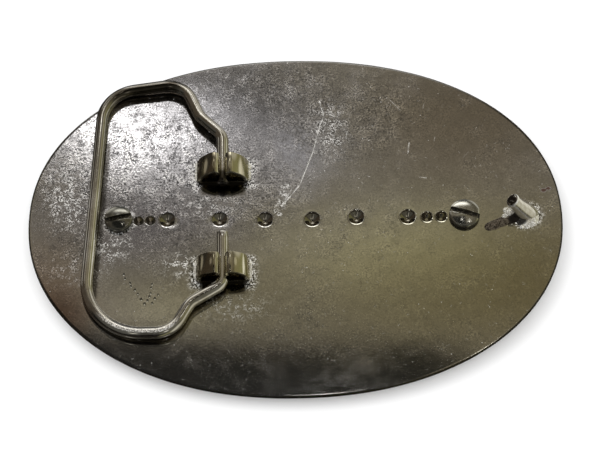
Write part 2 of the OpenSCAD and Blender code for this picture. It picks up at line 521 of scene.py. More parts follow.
# the clips, rolled from strip, and their solder
clips = {
    "wide": 8.8,
    "long": 3.8,
    "strip": 0.75,                 # the strip's thickness
    "corner": 0.1,
    "spread": 18.6,                # from the middle of one clip to that of the other
    "middle": (-12.2, -0.45),
    "sink": 0.1,                   # how far the feet go into the back
    "mouth": (0.6, (3.7, 1.5)),    # the painted shade before each mouth: how far out it lies, and half its size
    # half of each strip's middle line, each (straight run, radius of the next bend, its degrees)
    "clip_upper": [(3.425, 0.6, 116), (0.9, 1.9, 7), (0, 4.9, 30), (0, 0.5, 109), (0.6, 0, 0)],
    "clip_lower": [(3.425, 0.6, 105), (1.1, 1.9, 35), (0, 3.7, 29), (0, 0.5, 93), (0.56, 0, 0)],
}


def clipLine(halfLine):
    # walks along half of the strip's middle line and mirrors it, giving (point, turn)
    spot, heading = Vector((0, clips["strip"] / 2)), 0.0
    half = []
    for run, radius, degrees in halfLine:
        way = Vector((math.cos(heading), math.sin(heading)))
        if run:
            half += [(spot + way * run * share, heading) for share in (0.02, 0.5, 1)]
            spot = spot + way * run
        steps = max(1, round(degrees / 5))
        centre = spot + Vector((-way.y, way.x)) * radius
        for k in range(1, steps + 1):
            turn = heading + math.radians(degrees) * k / steps
            if degrees:
                half.append((centre + Vector((math.sin(turn), -math.cos(turn))) * radius, turn))
        heading += math.radians(degrees)
        spot = half[-1][0]
    other = [(Vector((-p.x, p.y)), -turn) for p, turn in reversed(half)]
    return other + half


def roundedBox(wide, high, corner, steps=3):
    points = []
    a, b = wide / 2 - corner, high / 2 - corner
    for cx, cy, start in ((a, b, 0), (-a, b, 90), (-a, -b, 180), (a, -b, 270)):
        for k in range(steps + 1):
            turn = math.radians(start + 90 * k / steps)
            points.append((cx + corner * math.cos(turn), cy + corner * math.sin(turn)))
    return points


def clipPlaces():
    x, y = clips["middle"]
    return {"clip_upper": (x, y + clips["spread"] / 2), "clip_lower": (x, y - clips["spread"] / 2)}


def makeClip(name, x, y, finish):
    base = backHeight(x) - clips["sink"]
    across = Vector((0, 1, 0))
    path = []
    for p, turn in clipLine(clips[name]):
        forward = Vector((math.cos(turn), 0, math.sin(turn)))
        path.append((Vector((x + p.x, y, base + p.y)), forward, across))
    section = roundedBox(clips["long"], clips["strip"], clips["corner"])
    points, faces = sweep(path, section, [(0.05, 0.97), (0.09, 0.86)])
    piece = makePiece(name, points, faces, finish, "plate", 50)
    seatOnPlate()


solder = {
    "reach": 0.7,         # how far it runs out from a clip's foot
    "climb": 0.42,        # how high it stands
    "grain": 0.06,
    "grainSize": 0.45,
    "swell": 0.5,
    "swellSize": 1.6,
    "steps": 220,
    # each (share of the reach, share of the climb)
    "rings": [
        (-0.5, 0.1), (-0.25, 0.9), (-0.05, 0.8), (0.15, 0.5),
        (0.35, 0.3), (0.6, 0.15), (0.85, 0.05), (1.0, -0.1),
    ],
}


def footLoop(grow, steps):
    # a rounded rectangle round a clip's foot, grown by some width
    wide, long = clips["wide"] - 0.5 + 2 * grow, clips["long"] + 2 * grow
    corners = roundedBox(wide, long, max(0.2, 0.3 + grow), 8)
    corners.append(corners[0])
    lengths = [0.0]
    for a, b in zip(corners, corners[1:]):
        lengths.append(lengths[-1] + math.dist(a, b))
    points, i = [], 0
    for k in range(steps):
        along = lengths[-1] * k / steps
        while lengths[i + 1] < along:
            i += 1
        share = (along - lengths[i]) / (lengths[i + 1] - lengths[i])
        points.append([a + (b - a) * share for a, b in zip(corners[i], corners[i + 1])])
    return points


def makeSolder(name, x, y, finish):
    steps = solder["steps"]
    points = []
    for share, high in solder["rings"]:
        for px, py in footLoop(share * solder["reach"], steps):
            # none shows on the near side, under the clip's mouth
            full = min(1, max(0, (py + clips["long"] / 2 - 0.2) / 1.1))
            fine, broad = solder["grainSize"], solder["swellSize"]
            lump = noise.noise(Vector((px / fine, py / fine, x + y)))
            swell = 1 + solder["swell"] * noise.noise(Vector((px / broad, py / broad, y)))
            lift = solder["climb"] * high * swell + (solder["grain"] * lump if high > 0 else 0)
            if share > 0:
                px, py = px * (1 + 0.02 * lump), py * (1 + 0.03 * lump)
            if full < 1:
                py = max(py, -clips["long"] / 2 + 0.1)
            points.append((x + px, y + py, backHeight(x + px) - 0.05 * (1 - full) + lift * full))
    piece = makePiece(name, points, ringFaces(0, steps, len(solder["rings"])), finish, "plate", 80)
    seatOnPlate()


# the bail's wire lies flat
bail = {
    "wire": 2.0,
    "hinge": -12.2,
    "reach": 22.4,        # from the hinge line to the long run
    "gap": 0.1,           # between the long run and the back
    # each (distance out from the hinge line, place across, bend radius)
    "corners": [
        (0, 5.9, 0), (0, 15.4, 3), (3.9, 19.3, 4), (6.8, 26.1, 4.5), (20.5, 24.1, 6.3),
        (22.5, -21, 9.3), (8.1, -21, 4.5), (5.3, -15.9, 4), (0, -12.7, 2), (0, -3.2, 0),
    ],
    # the rounding of its ends, each (how far on, share of the wire's radius)
    "endRound": [(0.1, 0.97), (0.2, 0.88), (0.25, 0.76)],
}


def wireHeight():
    return backHeight(bail["hinge"] - bail["reach"]) + bail["wire"] / 2 + bail["gap"]


def wirePath():
    # runs round the corners as arcs, each station (point, forward, sideways)
    high = wireHeight()
    corners = [Vector((bail["hinge"] - a, b, high)) for a, b, r in bail["corners"]]
    up = Vector((0, 0, 1))
    shrink = bail["endRound"][-1][0]
    path = []
    start, forward = corners[0], (corners[1] - corners[0]).normalized()
    path.append((start + forward * shrink, forward, up.cross(forward)))
    for i in range(1, len(corners) - 1):
        before = (corners[i] - corners[i - 1]).normalized()
        after = (corners[i + 1] - corners[i]).normalized()
        turn = before.angle(after)
        side = 1 if before.cross(after).z > 0 else -1
        radius = bail["corners"][i][2]
        trim = radius * math.tan(turn / 2)
        centre = corners[i] - before * trim + up.cross(before) * side * radius
        steps = max(3, round(math.degrees(turn) / 4))
        for k in range(steps + 1):
            spin = Matrix.Rotation(side * turn * k / steps, 3, "Z")
            forward = spin @ before
            path.append((centre - spin @ (up.cross(before) * side * radius), forward, up.cross(forward)))
    end, forward = corners[-1], (corners[-1] - corners[-2]).normalized()
    path.append((end - forward * shrink, forward, up.cross(forward)))
    return splitRuns(path, 1.2)


def splitRuns(path, longest):
    # breaks the straight runs into short ones, for even faces
    fine = [path[0]]
    for a, b in zip(path, path[1:]):
        pieces = max(1, math.ceil((b[0] - a[0]).length / longest))
        for k in range(1, pieces + 1):
            spot, forward, sideways = [u.lerp(v, k / pieces) for u, v in zip(a, b)]
            fine.append((spot, forward.normalized(), sideways.normalized()))
    return fine


def makeBail(finish):
    points, faces = sweep(wirePath(), circle(bail["wire"] / 2, 40), bail["endRound"])
    piece = makePiece("bail_wire", points, faces, finish, "bail", 50)
    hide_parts("bail")


# the hook: a leaning peg, its foot bent over and soldered down, and the solder round its root
hook = {
    "place": (38.6, -0.2),
    "peg": 2.4,
    "long": 4.7,
    "lean": 37,
    "turn": 168,                   # the way it leans
    "rounding": 0.5,
    "below": 1.2,                  # how far it goes down into the plate
    "rootFull": 0.7,               # how much thicker the root is
    "plainFrom": 2.2,              # how far up the thicker root reaches
    "foot": 2.1,
    "footSink": 0.4,
    "footTurn": 200,
    "footLong": 6.8,
    "footTaper": 0.12,
    "footLumps": [(0.12, 0.7), (0.05, 0.25)],   # each (share of the radius, size)
    "dullSide": (0.395, -0.818, 0.417),         # the way the peg's side with painted shade faces
}


def hookStand():
    return backTurn(*hook["place"])


def pegStand():
    turn = Matrix.Rotation(math.radians(hook["turn"]), 4, "Z")
    lean = Matrix.Rotation(math.radians(hook["lean"]), 4, "Y")
    return hookStand() @ turn @ lean


def makePeg(finish):
    r, end, rounding, steps = hook["peg"] / 2, hook["long"], hook["rounding"], 48
    full = r + hook["rootFull"] / 2
    profile = [(-hook["below"], full), (0.3, full), (hook["plainFrom"], r + 0.1)]
    profile += [(hook["plainFrom"] + 1, r), (end - rounding, r)]
    for k in range(1, 7):
        turn = math.radians(15 * k)
        profile.append((end - rounding * (1 - math.sin(turn)), r - rounding * (1 - math.cos(turn))))
    profile += [(end - 0.01, r * 0.4), (end - 0.03, r * 0.1)]
    stand = pegStand()
    points = []
    for along, radius in profile:
        points += [stand @ Vector((a, b, along)) for a, b in circle(radius, steps)]
    faces = ringFaces(0, steps, len(profile))
    faces.append(tuple(range(len(points) - steps, len(points))))
    piece = makePiece("hook_peg", points, faces, finish, "plate", 50)
    seatOnPlate()


def makeFoot(finish):
    r, steps, runs = hook["foot"] / 2, 40, 48
    stand = hookStand() @ Matrix.Rotation(math.radians(hook["footTurn"]), 4, "Z")
    points = []
    reach = hook["footLong"] + r
    for j in range(runs + 1):
        along = reach * j / runs
        left = max(0.0, along - hook["footLong"])
        ring = math.sqrt(max(0.0, 1 - (left / r) ** 2)) * r * (1 - hook["footTaper"] * along / reach)
        for a, b in circle(max(ring, 0.02), steps):
            spot = Vector((along, a, b))
            lump = sum(share * noise.noise(spot / size) for share, size in hook["footLumps"])
            grow = 1 + lump if ring > 0.3 else 1
            points.append(stand @ Vector((along, a * grow, b * grow * 0.97 - hook["footSink"])))
    faces = ringFaces(0, steps, runs + 1)
    piece = makePiece("hook_foot", points, faces, finish, "plate", 80)
    seatOnPlate()


# the solder round the hook's root, a mound with drops beside it
collar = {
    "wide": 4.0,
    "high": 0.34,
    "offset": (-0.1, -0.85),
    # each (share of the half width, share of the height)
    "rings": [(0.2, 1.0), (0.5, 0.95), (0.68, 0.75), (0.8, 0.5), (0.9, 0.25), (1.0, 0.06), (1.1, -0.1)],
    # each (place along, place across, half width, height)
    "drops": [
        (-2.9, 0.0, 0.85, 0.65), (-3.5, 0.6, 0.5, 0.4), (-2.3, 0.8, 0.5, 0.4),
        (-3.7, -0.7, 0.6, 0.75), (-1.1, -2.6, 0.45, 0.3),
    ],
    "cavity": ((36.9, -1.55), (1.9, 1.3)),      # where shade is painted in the hollow between the peg and the foot
}


def makeCollar(finish):
    stand = hookStand()
    steps = 96
    points = []
    for share, high in collar["rings"]:
        for a, b in circle(collar["wide"] / 2 * share, steps):
            lump = noise.noise(Vector((a / 0.9, b / 0.9, 4.2)))
            grow = 1 + 0.08 * noise.noise(Vector((a, b, 9.1)))
            lift = collar["high"] * high + 0.05 * lump
            spot = (a * grow + collar["offset"][0], b * grow + collar["offset"][1], lift)
            points.append(stand @ Vector(spot))
    faces = ringFaces(0, steps, len(collar["rings"]))
    levels, around = 7, 20
    for x, y, wide, high in collar["drops"]:
        start = len(points)
        for j in range(levels):
            turn = math.radians(15 * j - 5)
            lift = high * math.sin(turn)
            for a, b in circle(wide * math.cos(turn), around):
                lump = 1 + 0.25 * noise.noise(Vector((a / 0.4 + x, b / 0.4, lift / 0.4)))
                points.append(stand @ Vector((x + a * lump, y + b * lump, lift * lump)))
        faces += ringFaces(start, around, levels)
        faces.append(tuple(range(len(points) - around, len(points))))
    piece = makePiece("hook_solder", points, faces, finish, "plate", 80)
    seatOnPlate()


# the screws: a domed head with a sawn slot, and a plain shank
def makeScrew(name, settings, finish):
    shape = screwShape
    r = settings["head"] / 2
    domeR = (r ** 2 + shape["dome"] ** 2) / (2 * shape["dome"])
    edge = shape["height"] - shape["dome"]
    shank = shape["shank"] / 2
    profile = [(0.01, -shape["shankLen"]), (shank, -shape["shankLen"]), (shank, 0), (r - 0.12, 0)]
    profile += [(r - 0.03, 0.05), (r, 0.14), (r, edge - 0.12), (r - 0.03, edge - 0.02)]
    for k in range(1, 13):
        a = (r - 0.08) * (1 - k / 12)
        profile.append((max(a, 0.01), shape["height"] - domeR + math.sqrt(domeR ** 2 - a ** 2)))
    steps = 72
    stand = backTurn(settings["x"], settings["y"]) @ Matrix.Translation((0, 0, shape["seat"]))
    points = [Vector((a, b, z)) for radius, z in profile for a, b in circle(radius, steps)]
    faces = ringFaces(0, steps, len(profile))
    faces.append(tuple(range(steps)))
    faces.append(tuple(range(len(points) - steps, len(points))))
    head = makePiece(name + "_head", points, faces, finish, "plate", 40)
    cutSlot(head, r, math.radians(settings["slotTurn"]))
    head.data.transform(Matrix.Scale(mm, 4) @ stand @ Matrix.Scale(1 / mm, 4))
    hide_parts(name)


def cutSlot(head, r, turn):
    # cuts with a block and then takes the sharpness off the edges
    saw = bpy.data.objects.new("saw", bpy.data.meshes.new("saw"))
    work = bmesh.new()
    bmesh.ops.create_cube(work, size=1)
    high = screwShape["slotDeep"] + 1
    size = Matrix.Diagonal((4 * r, screwShape["slot"], high, 1))
    lift = Matrix.Translation((0, 0, screwShape["height"] - screwShape["slotDeep"] + high / 2))
    place = Matrix.Scale(mm, 4) @ Matrix.Rotation(turn, 4, "Z") @ lift @ size
    bmesh.ops.transform(work, matrix=place, verts=work.verts)
    work.to_mesh(saw.data)
    work.free()
    bpy.context.scene.collection.objects.link(saw)
    cut = head.modifiers.new("slot", "BOOLEAN")
    cut.operation = "DIFFERENCE"
    cut.solver = "EXACT"
    cut.object = saw
    soften = head.modifiers.new("soften", "BEVEL")
    soften.width = 0.06 * mm
    soften.segments = 2
    soften.limit_method = "ANGLE"
    soften.angle_limit = math.radians(45)
    bpy.context.view_layer.update()
    cutHead = head.evaluated_get(bpy.context.evaluated_depsgraph_get())
    shaped = bpy.data.meshes.new_from_object(cutHead)
    head.modifiers.clear()
    head.data = shaped
    shaped.shade_smooth()
    shaped.set_sharp_from_angle(angle=math.radians(40))
    bpy.data.objects.remove(saw)


# finishes
# the plating's wear, with the shade and reflection painted on it, in millimetres on the back
wearAndShade = {
    "grain": 0.31,
    "grainDeep": 0.0022,
    "dull": (0.58, 0.57, 0.56),
    "bright": (0.66, 0.65, 0.66),
    "rubbed": (0.95, 0.94, 0.9),
    # painted shade beside the wire's long run
    "rested": (0.035, 0.03, 0.018),
    "inDimples": (0.36, 0.33, 0.27),
    # painted shade before the clips' mouths
    "atMouths": (0.16, 0.14, 0.1),
    "pitted": (0.09, 0.05, 0.035),
    # painted shade along the very edge
    "edge": (0.07, 0.065, 0.055),
    "edgeLine": (0.982, 0.99),    # the shares of the reach where the edge's painted shade begins and is full
    "edgeWiden": 0.011,           # how much sooner it begins on the far side
    # tones over parts of the plate, partly its own colour and partly painted reflection, each (place,
    # size, colour, strength)
    "tints": [
        ((-18, 16), (44, 24), (0.62, 0.615, 0.645), 0.9),   # cool grey at the upper left
        ((30, 18), (24, 22), (0.5, 0.455, 0.4), 0.9),       # warm and dull at the upper right
        ((22, -12), (46, 24), (0.57, 0.54, 0.37), 0.9),     # olive over the lower right
        ((-14, -14), (26, 13), (0.56, 0.54, 0.43), 0.8),
        ((-41, -14), (10, 15), (0.58, 0.49, 0.43), 0.9),    # reddish at the lower left
        ((-38.5, -17.5), (7.5, 8), (0.32, 0.24, 0.2), 0.9),
    ],
    # where the plating is worn to grain, each (place, size, strength)
    "grained": [
        ((-26, 12), (34, 22), 1.0),
        ((-8, 6), (16, 15), 0.8),
        ((8, 20), (24, 15), 0.75),
        ((-4, 26), (24, 10), 0.8),
        ((-36, -4), (9, 9), 0.6),
        ((-20, -3), (12, 7), 0.6),
        ((-12, -11), (10, 7), 0.55),
        ((0, -27), (34, 9), 0.35),
    ],
    # where bright specks lie close together, each (place, size, strength)
    "specked": [
        ((-30.5, -5), (5, 4.5), 0.75), ((-19.5, -8.3), (4, 3.4), 0.9), ((-10, -16), (8, 4), 0.5),
        ((-38, 4), (6, 9), 0.7), ((-36, -9), (7, 5), 0.4), ((-14, 2.5), (7, 3), 0.5),
        ((6, 17), (5, 9), 0.5),
    ],
    # spatter round the hook and the left screw, each (place, size, share that is full, strength)
    "spatter": [((38.2, -0.6), (3.8, 3.4), 0.5, 1.0), ((-29.6, 0.0), (3.6, 3.4), 0.6, 0.7)],
    # each (points of the stroke, width, strength)
    "strokes": [
        ([(4.6, 23.2), (5.3, 20.1), (4.6, 18.3), (3.2, 12.9), (0.8, 6.5), (-2.3, 2.5)], 0.13, 0.6),
        ([(5.6, 20.3), (4.9, 17.5), (3.6, 13.2)], 0.9, 0.5),
        ([(-1.6, 6.2), (-3.0, 0.8)], 1.1, 0.8),
        ([(-0.6, 5.6), (-1.9, 3.4)], 0.14, 0.5),
        ([(19.8, 14.2), (19.5, 12.4)], 0.18, 0.5),
        ([(22.8, 22.0), (22.6, 21.1)], 0.1, 0.4),
        ([(17.0, 23.0), (18.6, 20.9)], 0.12, 0.25),
        ([(24.3, 15.2), (24.1, 14.4)], 0.12, 0.35),
        ([(9.2, 16.8), (9.0, 15.4)], 0.16, 0.45),
        ([(29.8, 12.0), (28.9, 11.0)], 0.12, 0.25),
        ([(21.2, 7.4), (22.3, 7.2)], 0.12, 0.5),
    ],
    "broad": 0.3,         # a stroke wider than this is a rubbed patch, which the grain breaks up
    # painted shade beside the wire's long run, for its shadow and dark reflection: its ends, width and
    # strength
    "rest": (((-31.9, 14.5), (-33.3, -14.0)), 0.85, 0.8),
    # each (place, size)
    "pits": [((41.8, 3.9), (0.65, 0.48)), ((42.65, 4.2), (0.62, 0.4))],
}


def inDimples(paint, x, y, z):
    # 1 below the level of the plate's back, along the row
    level = plate["rise"] / halfLen ** 2
    below = (z - x * x * level).step(plate["thick"] - 0.09, plate["thick"] - 0.04, 1, 0)
    return below * paint.slab(x, y, (0, 0), dimples["span"], 0.05) * z.step(1.2, 1.3)


def clipMouthShade(paint, x, y):
    # 1 where shade is painted in front of each clip's mouth
    out, half = clips["mouth"]
    near = [(cx, cy - clips["long"] / 2 - out) for cx, cy in clipPlaces().values()]
    upper, lower = [paint.slab(x, y, place, half, 0.5) for place in near]
    return upper.higher(lower)


def spatterHalo(paint, x, y, wide):
    # 1 beside the clips' feet, the hook and the left screw, where the solder has spattered
    halo = 0
    for cx, cy in clipPlaces().values():
        aside = (abs(x - cx) - clips["wide"] / 2).higher(0)
        beyond = (abs(y - cy) - clips["long"] / 2).higher(0)
        halo = paint.away(aside, beyond).step(0.1, wide, 1, 0).higher(halo)
    for place, size, full, strength in wearAndShade["spatter"]:
        halo = halo.higher(paint.blob(x, y, place, size, full) * strength)
    return halo


def brightMarks(paint, spot, grain, lumps, halo):
    # fine flecks everywhere, spatter, and marks that catch the light
    x, y, z = spot.parts()
    specked = halo * 1.2
    for place, size, strength in wearAndShade["specked"]:
        specked = specked.higher(paint.blob(x, y, place, size, 0.1) * strength * lumps.step(0.4, 0.6))
    fleck = paint.spots(spot, 0.8, 0.04, 0.14) * paint.cloud(spot, 3.1, 2).step(0.45, 0.6)
    dash = paint.dashes(spot, 2.6, 0.03, 0.32)
    marks = (fleck * 0.7).higher(dash * 0.4).higher(specked * grain.step(0.48, 0.56))
    broken = grain.step(0.44, 0.6) * lumps.step(0.35, 0.6)
    for points, wide, strength in wearAndShade["strokes"]:
        for ends in zip(points, points[1:]):
            stroke = paint.stroke(x, y, ends, wide) * strength
            if wide > wearAndShade["broad"]:
                stroke = stroke * broken
            marks = marks.higher(stroke)
    return marks * lumps.step(0.35, 0.55, 0.3, 1)


def plateFinish():
    paint = newPaint("worn_and_shaded_plating")
    spot = paint.place()
    x, y, z = spot.parts()
    # unevenness in three sizes
    grain = paint.cloud(spot, wearAndShade["grain"], 3, 0.7)
    lumps = paint.cloud(spot, 1.2, 3, 0.6)
    mottle = paint.cloud(spot, 5.0, 4, 0.6, warp=0.3)
    halo = spatterHalo(paint, x, y, 2.0)
    grained = mottle.step(0.5, 0.75) * 0.35 + 0.2
    for place, size, strength in wearAndShade["grained"]:
        grained = grained.higher(paint.blob(x, y, place, size, 0.2) * strength)
    sunk = inDimples(paint, x, y, z)
    mouthShaded = clipMouthShade(paint, x, y)
    clean = (1 - sunk) * (1 - mouthShaded)
    grained = (grained * lumps.step(0.35, 0.6, 0.35, 1)).higher(halo) * clean
    tone = paint.blend(mottle.step(0.35, 0.7), wearAndShade["dull"], wearAndShade["bright"])
    # tones partly the plating's own and partly painted reflection
    for place, size, colour, strength in wearAndShade["tints"]:
        tone = paint.blend(paint.blob(x, y, place, size, 0.1) * strength, tone, colour)
    sparkle = grain.step(0.38, 0.62)
    patches = paint.cloud(spot, 2.2, 3, 0.6).step(0.35, 0.65, 0.6, 1.3)
    tone = paint.vector("SCALE", tone, scale=1 - grained + grained * patches * (sparkle * 1.6 + 0.08))
    # painted shade beside the wire's long run, for its shadow and dark reflection
    ends, wide, strength = wearAndShade["rest"]
    tone = paint.blend(paint.stroke(x, y, ends, wide) * strength, tone, wearAndShade["rested"])
    tone = paint.blend(sunk * 0.8, tone, wearAndShade["inDimples"])
    # painted shade in front of each clip's mouth
    tone = paint.blend(mouthShaded * 0.8, tone, wearAndShade["atMouths"])
    marks = brightMarks(paint, spot, grain, lumps, halo) * clean
    tone = paint.blend(marks, tone, wearAndShade["rubbed"])
    pitted = 0
    for place, size in wearAndShade["pits"]:
        pitted = paint.blob(x, y, place, size, 0.5) + pitted
    pitted = pitted * lumps.step(0.3, 0.5, 0.6, 1)
    tone = paint.blend(pitted, tone, wearAndShade["pitted"])
    # a thin dark line of painted shade along the very edge, a little wider on the far side
    edgeShade = (ovalReach(x, y) + y.step(5, 20) * wearAndShade["edgeWiden"]).step(*wearAndShade["edgeLine"])
    tone = paint.blend(edgeShade * 0.85, tone, wearAndShade["edge"])
    rough = 0.08 + 0.05 * mottle.step(0.45, 0.75) + 0.04 * grained + 0.3 * marks + 0.4 * pitted
    metal = 1 - 0.5 * marks - 0.5 * pitted
    height = (sparkle * grained + lumps * 0.7) * (1 - sunk) - pitted * 3
    normal = paint.bump(height, wearAndShade["grainDeep"])
    return paint.principled(baseColor=tone, metallic=metal, roughness=rough, normal=normal)


wireLook = {
    "worn": (0.6, 0.57, 0.5),
    "bright": (0.74, 0.72, 0.68),
    "specks": (0.4, 0.35, 0.27),
    "underside": (0.12, 0.1, 0.07),
    # painted shade along the inside of the upper run
    "inner": (0.09, 0.075, 0.055),
    "innerLine": (0.146, 28.77, 29.22),    # its slope, and how far across it is full and gone
    "dull": (0.3, 0.28, 0.24),
    # painted shade where the upper end lies in its clip
    "inClip": (0.05, 0.042, 0.035),
    "clipSpot": ((bail["hinge"], 6.6), (1.3, 1.5)),
    # painted highlight along the top of the lower run
    "rubbed": (0.85, 0.82, 0.76),
}


def wireFinish():
    paint = newPaint("bright_plating")
    spot = paint.place()
    fine = paint.cloud(spot, 0.6, 3, 0.5)
    worn = paint.cloud(spot, 4.0, 3, 0.6)
    x, y, z = spot.parts()
    high = wireHeight()
    tone = paint.blend(worn.step(0.4, 0.65), wireLook["worn"], wireLook["bright"])
    tone = paint.blend(fine.step(0.6, 0.75) * 0.6, tone, wireLook["specks"])
    # painted shade: the wire darker on its lower side
    below = z.step(high - 0.55, high - 0.1, 1, 0)
    tone = paint.blend(below * 0.9, tone, wireLook["underside"])
    # painted shade along the inside of the upper run
    slope, full, gone = wireLook["innerLine"]
    inner = (y - x * slope).step(full, gone, 1, 0) * y.step(20.5, 23) * x.step(-20.5, -18.5, 1, 0)
    tone = paint.blend(inner * 0.9, tone, wireLook["inner"])
    # the far half of the long run is duller
    dull = y.step(2, 8) * x.step(-31.5, -30.5, 1, 0)
    tone = paint.blend(dull * 0.5, tone, wireLook["dull"])
    # painted shade: the upper end darkened where it lies in its clip
    place, half = wireLook["clipSpot"]
    tone = paint.blend(paint.slab(x, y, place, half, 0.5) * 0.9, tone, wireLook["inClip"])
    # painted highlight: matt and light along the top of the lower run
    rubbed = y.step(-20, -17, 1, 0) * x.step(-21, -18.5, 1, 0) * z.step(high + 0.9, high + 0.98)
    rubbed = rubbed * paint.cloud(spot, 0.28, 3, 0.5).step(0.4, 0.6, 0.25, 1)
    tone = paint.blend(rubbed, tone, wireLook["rubbed"])
    rough = 0.06 + 0.08 * fine.step(0.4, 0.7) + 0.2 * rubbed
    normal = paint.bump(fine, 0.004)
    return paint.principled(baseColor=tone, metallic=1 - 0.45 * rubbed, roughness=rough, normal=normal)


pegLook = {
    "dark": (0.66, 0.63, 0.56),
    "bright": (0.8, 0.78, 0.72),
    # painted shade on the peg's shaded side
    "dullSide": (0.22, 0.195, 0.14),
    # painted highlight round the peg's end
    "rim": (0.9, 0.88, 0.8),
    # painted shade on the peg's end face, and painted glints on it
    "face": (0.12, 0.1, 0.08),
    "faceSpecks": (0.7, 0.68, 0.6),
}


def pegFinish():
    paint = newPaint("peg_plating")
    spot = paint.place()
    fine = paint.cloud(spot, 0.5, 3, 0.5)
    tone = paint.blend(fine.step(0.35, 0.7), pegLook["dark"], pegLook["bright"])
    stand, end = pegStand(), hook["long"]
    axis = stand.col[2].xyz
    out = paint.vector("SUBTRACT", spot, stand.translation)
    along = paint.vector("DOT_PRODUCT", out, axis)
    side = paint.vector("DOT_PRODUCT", out, axis.cross(Vector(hook["dullSide"])).normalized())
    # painted shade down the peg's shaded side, short of its end
    dull = side.step(-0.75, -0.1, 1, 0) * along.step(end - 0.5, end - 0.3, 1, 0)
    tone = paint.blend(dull, tone, pegLook["dullSide"])
    # painted highlight: a light ring round the end, weaker on the shaded side
    rim = along.step(end - 0.5, end - 0.35) * side.step(-0.9, 0.6, 0.25, 1)
    tone = paint.blend(rim * 0.8, tone, pegLook["rim"])
    # painted shade on the end face, with light specks as painted glints
    face = along.step(end - 0.2, end - 0.08)
    specked = paint.blend(fine.step(0.6, 0.68), pegLook["face"], pegLook["faceSpecks"])
    tone = paint.blend(face, tone, specked)
    metal = 1 - 0.55 * dull - 0.4 * rim * (1 - face)
    rough = 0.1 + 0.1 * fine
    normal = paint.bump(fine, 0.006)
    return paint.principled(baseColor=tone, metallic=metal, roughness=rough, normal=normal)


stripLook = {
    "dark": (0.62, 0.58, 0.44),
    "bright": (0.78, 0.75, 0.6),
    "bands": (0.5, 0.46, 0.33),
    # painted shade on the left half of each clip
    "leftHalf": (0.33, 0.29, 0.2),
    # painted shade low on the strip
    "dirt": (0.06, 0.05, 0.04),
    "dirtTop": (3.3, 3.9),         # the heights over the floor where the painted shade is full and gone
}


def stripFinish():
    paint = newPaint("strip_plating")
    spot = paint.place()
    streak = paint.cloud(spot, 0.8, 2, 0.5, stretch=(1, 0.04, 1))
    broad = paint.cloud(spot, 2.1, 2, 0.5, stretch=(1, 0.1, 1))
    fine = paint.cloud(spot, 0.35, 2, 0.5)
    x, y, z = spot.parts()
    tone = paint.blend(streak.step(0.35, 0.65), stripLook["dark"], stripLook["bright"])
    tone = paint.blend(broad.step(0.45, 0.6) * 0.6, tone, stripLook["bands"])
    # painted shade: the left half of each clip darker
    left = x.step(clips["middle"][0] - 1.4, clips["middle"][0] - 0.9, 1, 0)
    tone = paint.blend(left * 0.85, tone, stripLook["leftHalf"])
    # painted shade: the strip darker low down, below its crown
    tone = paint.blend(z.step(*stripLook["dirtTop"], 0.85, 0), tone, stripLook["dirt"])
    rough = 0.08 + 0.07 * fine
    normal = paint.bump(streak, 0.006)
    return paint.principled(baseColor=tone, metallic=1.0, roughness=rough, normal=normal)


solderLook = {
    "dull": (0.66, 0.63, 0.53),
    "bright": (0.95, 0.93, 0.86),
    "burnt": (0.025, 0.018, 0.012),        # the hook's foot is burnt, with scale on it
    "scale": (0.24, 0.2, 0.15),
    # painted shade in the hollow between the peg and the foot
    "cavity": (0.015, 0.012, 0.01),
}


def shadeInCavity(paint, x, y, tone):
    # paints shade in the hollow between the peg and the foot
    return paint.blend(paint.blob(x, y, *collar["cavity"], 0.7) * 0.95, tone, solderLook["cavity"])


def solderFinish():
    paint = newPaint("bright_solder")
    spot = paint.place()
    grain = paint.cloud(spot, 0.24, 2, 0.65)
    lumps = paint.cloud(spot, 0.8, 2, 0.5)
    x, y, z = spot.parts()
    tone = paint.blend(grain.step(0.35, 0.6), solderLook["dull"], solderLook["bright"])
    tone = shadeInCavity(paint, x, y, tone)
    metal = 0.75 - 0.3 * grain.step(0.5, 0.65)
    rough = 0.2 + 0.15 * lumps
    normal = paint.bump(grain * 0.4 + lumps, 0.014)
    return paint.principled(baseColor=tone, metallic=metal, roughness=rough, normal=normal)


def footFinish():
    paint = newPaint("burnt_foot")
    spot = paint.place()
    grain = paint.cloud(spot, 0.3, 3, 0.65)
    x, y, z = spot.parts()
    tone = paint.blend(grain.step(0.35, 0.65), solderLook["burnt"], solderLook["scale"])
    tone = shadeInCavity(paint, x, y, tone)
    rough = 0.3 + 0.3 * grain
    normal = paint.bump(grain, 0.06)
    return paint.principled(baseColor=tone, metallic=0.8, roughness=rough, normal=normal)


screwLook = {
    "dark": (0.48, 0.47, 0.42),
    "bright": (0.6, 0.6, 0.55),
    "left": (0.1, 0.095, 0.08),    # the left one is duller
    # painted shade in the slot and round the edge
    "dirt": (0.04, 0.034, 0.028),
    "crumbs": (0.26, 0.24, 0.18),
}


def screwFinish():
    paint = newPaint("screw_steel")
    spot = paint.place()
    fine = paint.cloud(spot, 0.35, 3, 0.6)
    x, y, z = spot.parts()
    tone = paint.blend(fine.step(0.3, 0.7), screwLook["dark"], screwLook["bright"])
    tone = paint.blend(x.step(-1, 1, 0.55, 0), tone, screwLook["left"])
    # painted shade in the slot and round the edge
    top = screwShape["dirtTop"]
    dirt = z.step(top - 0.15, top, 1, 0)
    crumbs = paint.blend(fine.step(0.5, 0.62), screwLook["dirt"], screwLook["crumbs"])
    tone = paint.blend(dirt * 0.9, tone, crumbs)
    rough = 0.1 + 0.06 * fine + 0.3 * dirt
    normal = paint.bump(fine, 0.003)
    return paint.principled(baseColor=tone, metallic=1.0, roughness=rough, normal=normal)


